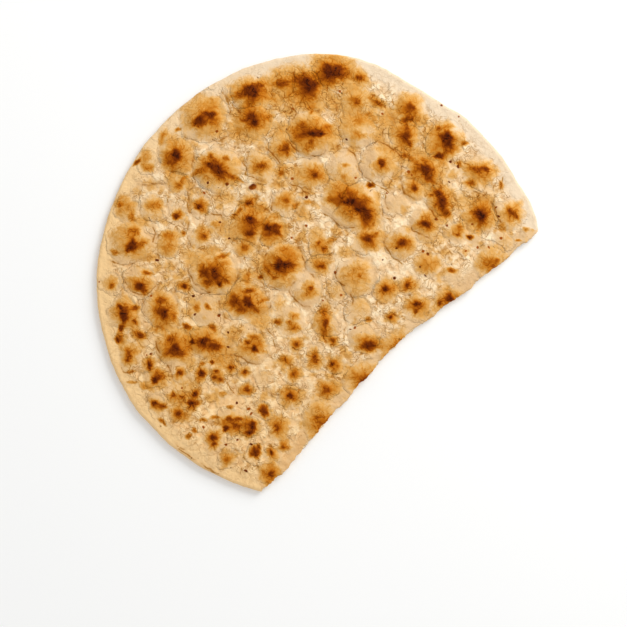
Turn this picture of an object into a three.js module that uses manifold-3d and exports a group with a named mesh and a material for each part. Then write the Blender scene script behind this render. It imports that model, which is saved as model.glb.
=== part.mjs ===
// A round, thin flatbread with blistered skin, lying flat, with one side of it torn away.
// It was baked in one piece, so it is one solid.
// Millimetres, +Z up. The origin is the middle of the round bread, on its flat underside.

import * as THREE from 'three';
import { mergeVertices } from 'three/addons/utils/BufferGeometryUtils.js';
import Module from 'manifold-3d';

// Driving dimensions
const breadDiameter = 240;
const middleThickness = 4.8; // the sheet of bread between its blisters
const edgeThickness = 3.6; // where the rounded edge begins
const thinningWidth = 16; // how far in from the edge the bread starts to thin
const edgeRound = 1.5; // radius of the rounded edge, above and below
const blisterHeight = 3.6; // the tallest blister, above the sheet
const tearStart = 11.8; // degrees round the rim where the tear begins
const tearEnd = 255.8; // degrees round the rim where the tear ends
const tearBow = 7; // how far the middle of the tear lies inside the straight line between its ends
const tearWave = 0.8; // how far the tear wanders to either side
const tearWaveLength = 23;

// How finely the sheet and the tear are divided
const stepsRound = 96;
const ringSpacing = 5;
const edgeSteps = 3;
const tearSteps = 60;

const breadRadius = breadDiameter / 2;
const degrees = Math.PI / 180;

// Where the hand-stretched outline swells or draws in:
// degrees round the rim, millimetres out, and the half-width in degrees
const outlineSwells = [
  [12, 4.5, 10],
  [60, -4.0, 9],
  [84, 1.8, 16],
  [150, -2.0, 22],
  [228, 2.4, 30],
];

// The large blisters: place, radius, and height as a share of the tallest
const largeBlisters = [
  [-4, 106, 13, 0.8],
  [-36, 101, 11, 0.8],
  [-60, 87, 12, 0.9],
  [-76, 64, 11, 0.8],
  [-54, 58, 13, 1.0],
  [-1, 78, 14, 0.9],
  [25, 37, 16, 1.0],
  [-36, 38, 13, 0.9],
  [-20, 16, 13, 0.8],
  [-56, 2, 13, 1.0],
  [-37, -14, 12, 0.9],
  [-101, 18, 10, 0.7],
  [-84, -20, 10, 0.7],
  [-105, -21, 9, 0.6],
  [-69, -37, 13, 0.8],
  [71, 75, 12, 0.8],
  [60, 57, 11, 0.7],
  [68, 40, 10, 0.7],
  [90, 33, 11, 0.8],
  [28, -38, 12, 0.8],
  [62, 6, 12, 0.6],
  [-45, -84, 12, 0.6],
  [-80, -64, 11, 0.6],
];

// A smooth bump: 1 in its middle, 0 from its radius outwards
function bump(distance, radius) {
  const share = Math.min(distance / radius, 1);
  return (1 - share * share) ** 2;
}

// How far the outline stands out from the true circle at an angle in degrees
function outlineSwell(angle) {
  let swell = 0;
  for (const [middle, amount, halfWidth] of outlineSwells) {
    const turn = ((angle - middle + 540) % 360) - 180;
    swell += amount * Math.exp(-((turn / halfWidth) ** 2) / 2);
  }
  return swell;
}

// The blisters' height above the sheet at a place
function blisterRise(x, y) {
  let rise = 0;
  for (const [middleX, middleY, radius, share] of largeBlisters) {
    const distance = Math.hypot(x - middleX, y - middleY);
    rise = Math.max(rise, share * blisterHeight * bump(distance, radius));
  }
  return rise;
}

// The section of half the sheet, from the middle of the underside, round the edge, to the top
function sheetSection() {
  const section = [new THREE.Vector2(0, 0)];
  const roundMiddle = breadRadius - edgeRound;
  for (let step = 0; step <= edgeSteps; step += 1) {
    const turn = (step / edgeSteps) * 90 * degrees;
    section.push(new THREE.Vector2(
      roundMiddle + edgeRound * Math.sin(turn),
      edgeRound * (1 - Math.cos(turn)),
    ));
  }
  for (let step = 0; step <= edgeSteps; step += 1) {
    const turn = (step / edgeSteps) * 90 * degrees;
    section.push(new THREE.Vector2(
      roundMiddle + edgeRound * Math.cos(turn),
      edgeThickness - edgeRound * (1 - Math.sin(turn)),
    ));
  }
  const ringCount = Math.round(roundMiddle / ringSpacing);
  for (let ring = ringCount - 1; ring >= 0; ring -= 1) {
    const radius = (roundMiddle * ring) / ringCount;
    const thinning = bump(roundMiddle - radius, thinningWidth);
    const height = middleThickness + (edgeThickness - middleThickness) * thinning;
    section.push(new THREE.Vector2(radius, height));
  }
  return section;
}

// A closed solid from a geometry whose doubled vertices are merged
const wasm = await Module();
wasm.setup();

function solidFrom(geometry) {
  geometry.deleteAttribute('normal');
  geometry.deleteAttribute('uv');
  const merged = mergeVertices(geometry);
  const corners = merged.index.array;
  const kept = [];
  for (let first = 0; first < corners.length; first += 3) {
    const [a, b, c] = corners.slice(first, first + 3);
    if (a !== b && b !== c && c !== a) {
      kept.push(a, b, c);
    }
  }
  return new wasm.Manifold(new wasm.Mesh({
    numProp: 3,
    vertProperties: new Float32Array(merged.attributes.position.array),
    triVerts: new Uint32Array(kept),
  }));
}

// The whole round sheet, before it was torn: turned, then its outline and top are shaped
function roundSheet() {
  const geometry = new THREE.LatheGeometry(sheetSection(), stepsRound);
  geometry.rotateX(90 * degrees);
  const position = geometry.attributes.position;
  for (let vertex = 0; vertex < position.count; vertex += 1) {
    const x = position.getX(vertex);
    const y = position.getY(vertex);
    const z = position.getZ(vertex);
    const fromMiddle = Math.hypot(x, y);
    const angle = Math.atan2(y, x) / degrees;
    const stretch = 1 + (outlineSwell(angle) / breadRadius) * (fromMiddle / breadRadius) ** 2;
    const onTop = z > edgeThickness / 2;
    const flattening = 1 - bump(breadRadius - fromMiddle, thinningWidth);
    const rise = onTop ? blisterRise(x * stretch, y * stretch) * flattening : 0;
    position.setXYZ(vertex, x * stretch, y * stretch, z + rise);
  }
  return solidFrom(geometry);
}

// A place on the rim of the bread
function rimPlace(angle) {
  const radius = breadRadius + outlineSwell(angle);
  return new THREE.Vector2(Math.cos(angle * degrees), Math.sin(angle * degrees)).multiplyScalar(radius);
}

// The part that was torn away: everything beyond a bowed, wandering line from rim to rim
function tornAway() {
  const start = rimPlace(tearStart);
  const end = rimPlace(tearEnd);
  const chord = end.clone().sub(start);
  const length = chord.length();
  const along = chord.clone().normalize();
  const outward = new THREE.Vector2(-along.y, along.x);
  const points = [];
  for (let step = -tearSteps / 4; step <= tearSteps * 1.25; step += 1) {
    const share = step / tearSteps;
    const waves = ((share * length) / tearWaveLength) * 2 * Math.PI;
    const wander = tearWave * (Math.sin(waves) + Math.sin(waves * 0.37 + 1)) * 0.5;
    const offset = wander - tearBow * bump(Math.abs(share - 0.5), 0.42);
    points.push(start.clone().addScaledVector(chord, share).addScaledVector(outward, offset));
  }
  for (const share of [1.25, -0.25]) {
    points.push(start.clone().addScaledVector(chord, share).addScaledVector(outward, breadDiameter));
  }
  const depth = 4 * (middleThickness + blisterHeight);
  const geometry = new THREE.ExtrudeGeometry(new THREE.Shape(points), { depth, bevelEnabled: false });
  geometry.translate(0, 0, -depth / 2);
  return solidFrom(geometry);
}

// The bread as it lies: the sheet without its torn-away side
function flatbreadGeometry() {
  const solid = roundSheet().subtract(tornAway());
  const { vertProperties, triVerts } = solid.getMesh();
  const geometry = new THREE.BufferGeometry();
  geometry.setAttribute('position', new THREE.BufferAttribute(vertProperties, 3));
  geometry.setIndex(new THREE.BufferAttribute(triVerts, 1));
  geometry.computeVertexNormals();
  return geometry;
}

const bakedCrust = new THREE.MeshStandardMaterial({
  color: 0xe6cfa4,
  roughness: 0.85,
  metalness: 0,
});

const flatbread = new THREE.Mesh(flatbreadGeometry(), bakedCrust);
flatbread.name = 'flatbread';

const group = new THREE.Group();
group.add(flatbread);

export default group;
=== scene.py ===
import math

import bmesh
import bpy
import numpy as np
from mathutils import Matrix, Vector, kdtree, noise
from mathutils.bvhtree import BVHTree


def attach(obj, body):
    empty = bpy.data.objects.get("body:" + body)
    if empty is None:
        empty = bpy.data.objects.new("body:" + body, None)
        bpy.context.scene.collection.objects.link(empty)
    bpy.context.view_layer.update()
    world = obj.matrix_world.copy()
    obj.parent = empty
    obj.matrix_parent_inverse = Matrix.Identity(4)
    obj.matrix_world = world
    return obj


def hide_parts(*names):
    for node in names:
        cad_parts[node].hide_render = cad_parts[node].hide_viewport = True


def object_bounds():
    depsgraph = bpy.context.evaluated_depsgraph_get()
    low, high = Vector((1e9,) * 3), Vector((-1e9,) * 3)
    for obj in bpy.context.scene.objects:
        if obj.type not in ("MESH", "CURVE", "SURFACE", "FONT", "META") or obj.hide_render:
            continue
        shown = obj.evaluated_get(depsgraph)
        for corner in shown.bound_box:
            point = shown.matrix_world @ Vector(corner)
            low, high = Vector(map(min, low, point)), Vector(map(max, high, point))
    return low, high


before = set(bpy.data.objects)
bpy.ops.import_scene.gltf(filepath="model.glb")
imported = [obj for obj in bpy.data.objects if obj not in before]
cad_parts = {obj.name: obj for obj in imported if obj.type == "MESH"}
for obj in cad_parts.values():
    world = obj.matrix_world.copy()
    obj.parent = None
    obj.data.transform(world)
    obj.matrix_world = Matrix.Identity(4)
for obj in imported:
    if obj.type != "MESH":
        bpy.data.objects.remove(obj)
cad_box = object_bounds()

# ---------------------------------------------------------------------------------------------
# The camera looks straight down at the bread on its table, from well above, so that the round
# sheet keeps its true outline. The frame is a little wider than a dinner plate.
# ---------------------------------------------------------------------------------------------
frame_width = 0.342
frame_middle = Vector((-0.0014, -0.0205, 0.005))
lens_length = 85

camera_data = bpy.data.cameras.new("camera")
camera_data.lens = lens_length
camera_data.sensor_width = 36
camera = bpy.data.objects.new("camera", camera_data)
camera.location = frame_middle + Vector((0, 0, frame_width * lens_length / camera_data.sensor_width))
bpy.context.scene.collection.objects.link(camera)
bpy.context.scene.camera = camera

# ---------------------------------------------------------------------------------------------
# The bread is one thin sheet of soft wheat dough, patted out round and baked fast on a very hot
# surface, so that steam lifts its skin into domes that scorch on top. One side was torn off.
# Its body starts as the plain solid, divided finely enough to carry every small bubble.
# ---------------------------------------------------------------------------------------------
mm = 0.001
bread_radius = 120
rim_height = 3.6
grain = 0.72  # the size of the facets that the skin is divided into

plain = bmesh.new()
plain.from_mesh(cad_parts["flatbread"].data)
bmesh.ops.remove_doubles(plain, verts=plain.verts, dist=0.001 * mm)
plain_surface = BVHTree.FromBMesh(plain)
tear_tip = max((vertex.co.xy for vertex in plain.verts), key=lambda place: place.x) / mm
tear_heel = min((vertex.co.xy for vertex in plain.verts), key=lambda place: place.y) / mm
plain_mesh = bpy.data.meshes.new("plain_bread")
plain.to_mesh(plain_mesh)
plain.free()

bread = bpy.data.objects.new("baked_flatbread", plain_mesh)
bpy.context.scene.collection.objects.link(bread)
divide = bread.modifiers.new("divide", "REMESH")
divide.mode = "VOXEL"
divide.voxel_size = grain * mm


def keep_result(piece):
    """Makes what the piece's modifiers show its own mesh."""
    shown = piece.evaluated_get(bpy.context.evaluated_depsgraph_get())
    mesh = bpy.data.meshes.new_from_object(shown)
    piece.modifiers.clear()
    piece.data = mesh


def vertex_values(mesh, name):
    """The positions or normals of a mesh's vertices, one row each."""
    values = np.zeros(len(mesh.vertices) * 3)
    mesh.vertices.foreach_get(name, values)
    return values.reshape(-1, 3)


def nearest_edge(places, edge_places):
    """For each place, its distance to the nearest edge place, and which one that is."""
    tree = kdtree.KDTree(len(edge_places))
    for index, place in enumerate(edge_places):
        tree.insert((place[0], place[1], 0), index)
    tree.balance()
    found = [tree.find((place[0], place[1], 0)) for place in places]
    return np.array([distance for _, _, distance in found]), np.array([index for _, index, _ in found])


keep_result(bread)

# The underside lies on the table and is nearly flat, so it keeps only a few of its points.
share_kept = 0.61
underside_margin = 2.5
side_tilt = 0.5  # a face of the edge points less than this far up or down
normals = vertex_values(bread.data, "normal")
places = vertex_values(bread.data, "co") / mm
on_side = np.abs(normals[:, 2]) < side_tilt
from_edge, _ = nearest_edge(places, places[on_side])
resting = np.nonzero((normals[:, 2] < -0.9) & (from_edge > underside_margin))[0]
bread.vertex_groups.new(name="resting").add([int(vertex) for vertex in resting], 1.0, "REPLACE")
thin_out = bread.modifiers.new("thin_out", "DECIMATE")
thin_out.ratio = share_kept
thin_out.vertex_group = "resting"
keep_result(bread)
bread.vertex_groups.clear()

# Where every point of the sheet lies: how far from the edge, how far up through the thickness,
# and how far along the tear. A point on the edge takes its top from a little further in.
step_in = 0.8
mesh = bread.data
normals = vertex_values(mesh, "normal")
places = vertex_values(mesh, "co") / mm
on_side = np.abs(normals[:, 2]) < side_tilt
from_edge, edge_index = nearest_edge(places, places[on_side])
edge_normals = normals[on_side][edge_index][:, :2]
edge_normals /= np.linalg.norm(edge_normals, axis=1)[:, None]
inward = places[:, :2] - step_in * edge_normals * (from_edge < 1)[:, None]


def plain_top(x, y):
    """The height of the plain solid's top at a place, in mm."""
    hit = plain_surface.ray_cast(Vector((x * mm, y * mm, 1)), Vector((0, 0, -1)))[0]
    return hit.z / mm if hit else rim_height


old_top = np.array([plain_top(x, y) for x, y in inward])
through = np.clip(places[:, 2] / old_top, 0, 1)

tear_along = (tear_heel - tear_tip).normalized()
tear_out = np.array((-tear_along.y, tear_along.x))
at_tear = edge_normals @ tear_out > 0.8
tear_course = (places[:, :2] - np.array(tear_tip)) @ np.array(tear_along)


def drift(wavelength, seed, x=None, y=None):
    """A smooth chance value from about -1 to 1 at every point, changing over a length in mm."""
    x = places[:, 0] if x is None else x
    y = places[:, 1] if y is None else y
    return np.array([noise.noise(Vector((a / wavelength, b / wavelength, seed))) for a, b in zip(x, y)])


# Where steam lifted the skin: the middle of each dome and its half-width, in mm.
domes = [
    # along the far rim and the upper left
    (-36, 99, 12), (-17, 105, 8), (-4, 103, 9), (8, 111, 10), (24, 108, 6), (-47, 98, 5), (-58, 107, 6),
    (-62, 87, 14), (-84, 76, 6), (-76, 66, 11), (-92, 62, 7), (-98, 70, 4), (-75, 50, 7), (-54, 58, 13),
    # upper middle
    (-34, 85, 11), (-17, 69, 9), (-2, 77, 14), (-30, 60, 9), (-2, 55, 10), (22, 95, 9), (23, 79, 11),
    (15, 59, 10), (-36, 41, 6), (-37, 28, 11), (-24, 26, 9), (-39, 15, 6), (-17, 40, 8), (-8, 38, 5),
    # upper right
    (51, 91, 10), (49, 77, 9), (35, 61, 11), (72, 75, 11), (59, 58, 10), (54, 48, 8), (68, 41, 9),
    (89, 57, 10), (84, 49, 5), (90, 33, 11), (106, 34, 9), (44, 40, 8), (60, 29, 10), (47, 18, 10),
    (61, 6, 9), (78, 24, 8), (87, 20, 6), (96, 7, 11), (102, 20, 7), (75, 3, 6), (114, 25, 4),
    # middle
    (21.5, 39, 14.5), (12, 43, 11), (28, 20, 9), (-18, 6, 13), (2, 17, 8), (2, 6, 8), (-5, -8, 10),
    (22, 0, 12), (-38, -14, 12), (-34, -39, 9), (5, -25, 9), (-14, -24, 9), (26, -33, 10), (24, -18, 8),
    (12, -8, 6),
    # left
    (-55, 2, 14), (-61, -18, 9), (-72, -5, 5), (-83, -18, 11), (-97, -4, 9), (-112, -4, 7),
    (-105, -20, 10), (-101, 18, 13), (-80, 18, 9), (-76, 33, 6), (-63, 38, 7), (-55, 27, 7), (-62, 21, 7),
    (-89, 38, 8), (-103, 36, 8),
    # lower left
    (-77, -38, 11), (-60, -36, 10), (-102, -43, 7), (-108, -34, 4), (-96, -32, 5), (-91, -49, 5),
    (-87, -56, 7), (-74, -53, 5), (-62, -53, 5), (-54, -54, 6), (-46, -50, 5), (-39, -52, 5),
    (-66, -65, 5), (-68, -70, 4), (-77, -65, 5), (-75, -75, 6), (-87, -70, 6), (-38, -62, 6),
    (-51, -64, 4), (-46, -80, 8), (-35, -82, 7), (-56, -89, 7), (-70, -87, 4), (-48, -100, 7),
    (-33, -97, 6), (-29, -73, 6), (-61, -78, 4), (-28, -55, 6), (-70, -28, 4), (-43, -93, 4),
]

# Where the hot surface scorched it: the middle of each mark, its half-length and half-width in
# mm, the turn of its length in degrees, and how dark it is, from 0 to 1.
scorches = [
    # faint golden washes
    (-38, -1.5, 3, 2.5, 0, 0.42), (-38, 0, 6, 5, 0, 0.22), (-50, 43, 6, 5, 0, 0.2),
    (-42, 80, 7, 5, 0, 0.28), (10, 95, 6, 5, 0, 0.24), (-68, 10, 7, 6, 0, 0.2), (-84, -27, 6, 5, 0, 0.34),
    (-30, -25, 6, 5, 0, 0.22), (-15, 90, 5, 4, 0, 0.22), (-45, -32, 5, 6, 0, 0.24),
    (-13, 102, 7, 5, 0, 0.3), (-33, 97, 6, 4, 0, 0.28), (-70, -35, 5, 4, 0, 0.3),
    (-67, -32, 7, 5, 0, 0.22), (50, 67, 6, 6, 0, 0.28), (40, 84, 8, 6, 0, 0.24), (50, 82, 5, 6, 0, 0.28),
    (-55, 79, 6, 4, 0, 0.22), (45, 80, 6, 6, 0, 0.2), (-22, 96, 6, 5, 0, 0.2), (64, 20, 8, 6, 0, 0.16),
    (-30, 98, 9, 6, 10, 0.3), (20, 87, 10, 9, 0, 0.22), (-6, 96, 9, 6, 0, 0.28), (67, 68, 7, 7, 0, 0.37),
    (43, 68, 7, 7, 0, 0.24), (-50, -45, 9, 6, 0, 0.26), (-11, 57, 6, 5, 0, 0.18), (80, 40, 7, 6, 0, 0.18),
    (35, 20, 7, 6, 0, 0.18), (-30, 5, 6, 8, 0, 0.2), (-70, -62, 9, 6, 0, 0.2),
    (29, 88, 2, 1.4, -20, 0.42), (27, 86, 8, 5, 0, 0.24), (20, 103, 7, 5, 0, 0.22),
    (17, 13, 5, 4, 0, 0.18), (-47, 24, 6, 8, 0, 0.19), (-7, 33, 5, 4.4, 0, 0.21),
    (-30.5, 30, 3, 3, 0, 0.4), (-25, 20, 4, 3, 0, 0.33), (-19, 79, 5, 5, 0, 0.26),
    (-5, 98, 6, 5, 0, 0.42), (-14, 99, 5, 4, 0, 0.34), (-4.5, 70.5, 5, 3, 0, 0.42),
    (-19, 57, 4, 4, 0, 0.3), (-20, -15, 4, 4, 0, 0.18), (-30, 36, 4, 4, 0, 0.32), (-56, 85, 4, 3, 0, 0.5),
    (-90, 50, 5, 4, 0, 0.16), (35, 70, 4, 3, 0, 0.16), (60, 78, 4, 5, 0, 0.18), (0, 23, 4, 4, 0, 0.22),
    (-20, 20, 4, 4, 0, 0.2), (-30, 70, 4, 4, 0, 0.17), (-96, -38, 4, 4, 0, 0.18),
    (-73, 60, 5, 5, 0, 0.24), (-69.5, -40, 3, 3, 0, 0.4), (-58, -30, 6, 4, 0, 0.24),
    (0, 91, 5, 4, 0, 0.2), (-35, 75, 5, 4, 0, 0.2), (-30, 50, 4, 4, 0, 0.2), (20, 70, 4, 4, 0, 0.2),
    (-55, 52, 5, 4, 0, 0.2), (-55, -45, 5, 4, 0, 0.22), (-95, 30, 4, 4, 0, 0.2), (-70, -20, 4, 4, 0, 0.2),
    (-58, 14, 5, 3, 0, 0.24), (57, 85, 4, 4, 0, 0.24), (18, 34, 4.5, 3.5, 0, 0.32),
    (-85, -60, 4, 3, 0, 0.22), (-80, 5, 4, 3, 0, 0.2), (-33, 95, 4, 3, 0, 0.24), (40, 50, 4, 3, 0, 0.2),
    (35, 75, 4, 4, 0, 0.22), (-60, 54, 4, 3, 0, 0.26), (-5, 46, 4, 3, 0, 0.24), (-90, 10, 4, 3, 0, 0.24),
    (-20, 50, 4, 3, 0, 0.24), (-6, 109.5, 4, 3, 0, 0.3), (10, 70, 4, 4, 0, 0.22),
    (-50, -40, 4, 3, 0, 0.22),
    # the far rim
    (8.5, 112, 5.5, 4, 0, 1), (8.5, 110, 9, 5.5, 0, 0.75), (8.5, 112, 12, 8, 0, 0.4),
    (-4, 104.5, 4.5, 3.4, -25, 1), (-5, 105, 8, 4.5, -25, 0.75), (-4, 100, 4, 3, 0, 0.65),
    (-5, 104, 11, 8.5, 0, 0.4), (-19, 105, 4.5, 2.2, 0, 0.7), (-12, 106, 3, 1.5, 0, 0.6),
    (-18, 106, 8, 5, 0, 0.35), (-35.5, 100.5, 4.5, 2.8, 20, 1), (-35, 100.7, 8.2, 4.2, 14, 0.75),
    (-42.5, 99, 2.4, 1.8, 20, 0.55), (-34, 100.5, 11, 6.8, 12, 0.38), (-35.5, 94, 3.2, 2.8, 0, 0.54),
    (23.5, 108.3, 2.2, 1.2, 0, 0.75), (24, 108, 4, 3, 0, 0.45), (-45.5, 98, 1.8, 1.2, 10, 0.38),
    (22, 95, 3, 2.2, -40, 0.55), (21.5, 95, 5, 4, 0, 0.35), (34.3, 94.3, 2, 1.2, -50, 0.65),
    (33, 95, 5.5, 3, -30, 0.38), (-59, 108, 5, 2.5, 35, 0.22), (-73, 98, 1.8, 0.8, 0, 0.35),
    # upper left
    (-63.5, 84, 3.8, 2.8, 30, 0.92), (-58, 87.5, 3.8, 2.4, 10, 0.9), (-61, 86, 7, 4, 30, 0.58),
    (-60, 86, 11, 7.5, 35, 0.29), (-57.5, 93.5, 4.6, 3.6, 0, 0.36), (-76, 66, 3.4, 2.8, 80, 1),
    (-77.5, 64, 6.2, 3.7, 60, 0.68), (-76, 65, 10, 7.5, 65, 0.36), (-54.5, 58.5, 5, 2.2, -32, 1),
    (-54.5, 58.5, 7, 4.5, -30, 0.7), (-63, 57, 4, 2, 20, 0.58), (-57.5, 65, 2.2, 1.8, 0, 0.55),
    (-49, 64, 2, 1.6, 0, 0.55), (-47, 54.5, 5, 1.6, -22, 0.62), (-53, 57.5, 9.5, 6.5, -20, 0.36),
    (-74.5, 49.5, 2.6, 1.8, 20, 0.55), (-72, 53, 2.4, 1.2, 45, 0.55), (-75, 50, 5, 3.5, 30, 0.35),
    (-97.5, 62.3, 2.8, 1, 42, 0.75), (-92, 59.5, 3, 2, -30, 0.42), (-93, 65, 4, 3, 60, 0.3),
    (-97.5, 69.8, 2.4, 1, 40, 0.7), (-84, 75.5, 4, 1.8, 65, 0.36), (-95, 77, 3.5, 2.5, 30, 0.2),
    (-75.5, 80, 1.5, 1, 0, 0.5), (-97, 46, 4, 2.4, 10, 0.18), (-105, 42, 4, 3, 0, 0.2),
    # upper middle
    (-34.5, 87, 2.5, 2, 80, 0.92), (-33.5, 83.5, 2.2, 2, -50, 0.92), (-35, 85.5, 6, 4.5, -40, 0.65),
    (-39.5, 84.5, 2.5, 1.2, 0, 0.6), (-27, 86, 3, 2, 0, 0.5), (-34, 86, 9, 7, 0, 0.42),
    (-16.5, 69.3, 2.4, 2.2, -50, 0.72), (-17, 69, 4.4, 3.6, -40, 0.5), (-18, 69, 7, 5, 0, 0.33),
    (-2, 77.5, 4, 1.9, 0, 0.98), (2.5, 77.3, 2, 1.5, 0, 1), (-3, 78, 8, 4, 0, 0.65),
    (-9.5, 76, 4.4, 3.4, 0, 0.52), (6, 81, 3.2, 1.5, 20, 0.54), (-2.5, 73, 1.8, 1.3, 0, 0.65),
    (-7, 82, 3, 2, -30, 0.55), (-3, 78, 11.5, 7.6, 0, 0.4), (-29.5, 60, 2.8, 2.4, 40, 0.6),
    (-30.5, 59.5, 5.5, 4.5, 0, 0.38), (-0.5, 54.8, 2, 1.7, 0, 0.75), (-0.5, 55.3, 4, 3.6, 0, 0.52),
    (-1, 55.5, 6.5, 5.5, 0, 0.33), (-19, 56, 1.8, 1.2, 20, 0.6), (-3, 92, 2.5, 1.3, 0, 0.48),
    (-2.5, 89.3, 1.2, 0.9, 0, 0.55), (23.5, 84, 2.8, 2.2, 0, 0.45), (22.5, 76.5, 3.6, 2.8, 0, 0.38),
    (16, 60.2, 2, 1.2, 0, 0.38), (15, 53.5, 1.4, 2.2, 0, 0.4), (-36.5, 40, 2.2, 1.8, 0, 0.8),
    (-36.5, 40, 4.5, 3.5, 0, 0.45), (-41.5, 36, 2.2, 1.1, 45, 0.55), (-36, 30.5, 2.8, 2.1, -40, 1),
    (-36, 23.2, 2.8, 1.9, -10, 0.92), (-26, 26.2, 2.7, 1.9, 0, 0.97), (-22, 27, 2.4, 2, 0, 0.8),
    (-21.5, 24, 3, 1.8, -40, 0.8), (-26, 22.8, 2.6, 1.6, 0, 0.7), (-36, 27.5, 4, 7, 0, 0.62),
    (-37, 28, 6.5, 9, 0, 0.42), (-25, 25.5, 7.5, 5.5, 0, 0.55), (-43.5, 33.5, 3, 1.5, 60, 0.5),
    (-22, 32.5, 3, 2.1, 0, 0.34), (-38.8, 15.5, 2.2, 1.9, 0, 0.6), (-39, 15.5, 4, 3.8, 0, 0.35),
    (-16.5, 41, 2.1, 1.6, 0, 0.58), (-17, 41, 5, 4, 0, 0.38), (-11, 38.5, 2.4, 1.6, 30, 0.5),
    (-4.5, 40.3, 2, 1.5, 0, 0.35),
    # upper right
    (52, 92, 2.4, 1.9, -40, 0.8), (50, 90.6, 4.3, 3.5, 0, 0.56), (50, 85.5, 3.4, 2.2, 20, 0.72),
    (50.5, 90, 7, 7, 0, 0.4), (48.8, 75.5, 2.8, 3.8, 0, 0.78), (49.3, 81, 1.4, 2.6, 0, 0.65),
    (51, 72, 2, 2, 0, 0.62), (48.5, 76, 5, 6.5, 0, 0.48), (71.5, 74.5, 4.2, 3, -55, 1),
    (71, 74.5, 5, 4, -55, 0.68), (66.8, 80.5, 1.8, 1.7, 0, 0.65), (72, 81.5, 3, 1.5, 0, 0.45),
    (67.3, 65.2, 2.5, 1.8, 0, 0.92), (72, 69.5, 4, 3.2, -30, 0.62), (69, 74.5, 7.5, 7.5, -40, 0.38),
    (80.5, 72.3, 1.7, 1.5, 0, 0.55), (59.8, 58, 3.2, 2.3, -65, 1), (60, 57, 5, 3.8, -50, 0.75),
    (61.5, 53, 3.6, 1.8, -35, 0.7), (55, 59, 4, 4, 0, 0.5), (59, 62.8, 3, 1.5, -20, 0.55),
    (59.5, 57.5, 9, 8, 0, 0.4), (53.6, 47.8, 2.4, 1.7, -60, 0.88), (53, 48.5, 4, 3.6, 0, 0.45),
    (69, 39.8, 3.2, 2.1, -70, 1), (66.5, 45, 2.5, 1.7, 0, 0.85), (68, 41, 7, 3.6, -65, 0.7),
    (70.5, 35, 3.6, 2, -40, 0.75), (68, 41, 10, 6.5, -65, 0.42), (62.5, 44, 1.5, 1, 0, 0.6),
    (48.5, 65.8, 1.8, 1.2, -20, 0.62), (52, 64, 1.8, 1.4, 0, 0.52), (92.5, 57.8, 2.6, 1.5, -10, 0.85),
    (88, 58, 6, 2.4, 0, 0.6), (89.5, 57, 8, 5, 0, 0.4), (84.5, 50.8, 2.2, 1.7, 0, 0.6),
    (85, 51, 4, 3, 0, 0.35), (78, 61, 1.6, 1.2, 0, 0.55), (35.5, 61.5, 2.3, 1.9, -40, 0.85),
    (35.5, 60.5, 4.6, 4, 0, 0.42), (29.8, 49.3, 1.7, 1.6, 0, 0.85), (101, 49.5, 1.2, 1.8, 0, 0.5),
    (89.8, 33, 3.8, 2.6, -65, 1), (89.8, 33, 5.5, 4.4, -65, 0.72), (89.5, 34, 8.5, 8.5, 0, 0.4),
    (106.5, 35, 3.4, 2.2, -60, 0.68), (109, 32, 1.6, 1.2, 0, 0.6), (106.5, 34, 5, 5.5, 0, 0.4),
    (114.5, 25.5, 1.9, 1.3, 0, 0.35), (101.5, 27, 1.8, 2.6, 0, 0.4), (84, 21.2, 1.7, 1.3, -10, 0.9),
    (77.5, 25, 3, 3.6, 0, 0.45), (77.5, 22.5, 1.3, 1.1, 0, 0.62), (60, 28.3, 2.7, 2, -20, 0.95),
    (60, 28.5, 5.5, 4.5, 0, 0.48), (46.8, 18, 2.8, 2.2, -20, 0.85), (46.5, 17.7, 5.2, 4.6, 0, 0.5),
    (61, 6.5, 5.5, 5, 0, 0.36), (74, 3, 2.2, 1.3, 0, 0.7), (98.5, 8, 2, 1.6, 0, 0.68),
    (95, 6, 6, 4, -20, 0.48), (110.5, 19.3, 1.6, 0.8, 0, 0.55),
    # middle
    (18.5, 40.3, 4, 2.2, -5, 1), (23.5, 37.5, 4, 3, -45, 0.98), (26.5, 34, 4, 3, -50, 0.88),
    (10.5, 41.5, 4, 3.2, -20, 0.66), (14, 43.5, 3.6, 2, 20, 0.58), (23, 39.5, 9, 5, -40, 0.64),
    (19, 40, 12, 6.5, -35, 0.5), (21, 38.5, 12, 8.5, -30, 0.34), (27.5, 41, 3, 2.5, -50, 0.55),
    (27.5, 30, 3.4, 3.6, 0, 0.72), (30, 30, 3.5, 4, 0, 0.42), (28.2, 20.3, 2.6, 2, 0, 0.85),
    (28.5, 20, 5, 4.5, 0, 0.55), (33, 23, 1, 0.8, 0, 0.55), (-19, 6, 3.8, 3, 0, 1),
    (-14.5, 5.5, 3.4, 2.4, 10, 0.68), (-17, 2.5, 4, 1.9, 10, 0.58), (-26.5, 3, 3.4, 1.8, -60, 0.6),
    (-30.3, -0.5, 1.4, 1.1, 0, 0.85), (-22.5, -1, 2, 1, 0, 0.6), (-16, 13, 5, 3, 0, 0.45),
    (-18.5, 6, 8, 5.5, 0, 0.56), (-19, 6, 11, 8, 0, 0.36), (1.2, 18, 1.6, 1.3, 0, 0.68),
    (4.3, 14.5, 2, 1.4, 50, 0.66), (3, 16, 4.5, 4.5, 0, 0.42), (8, 19.5, 2.5, 1.5, 30, 0.42),
    (2.8, 5.3, 2.8, 1.9, 0, 0.68), (2.5, 6, 4.5, 5, 0, 0.4), (-2.7, -6.7, 1.6, 1.3, 0, 0.8),
    (-4, -8.5, 4.5, 4, 0, 0.42), (-37, -14, 3.6, 2.4, -50, 1), (-44, -14, 3.6, 4.4, 0, 0.72),
    (-37, -8, 3, 1.5, 0, 0.7), (-34.3, -17.6, 4.6, 1.8, -35, 0.64), (-40, -18, 4, 2.5, 0, 0.65),
    (-29, -13.5, 3.5, 1.2, 20, 0.55), (-39, -13.5, 10, 8, 0, 0.42), (5.2, -26, 2, 2.8, 0, 0.78),
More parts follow.
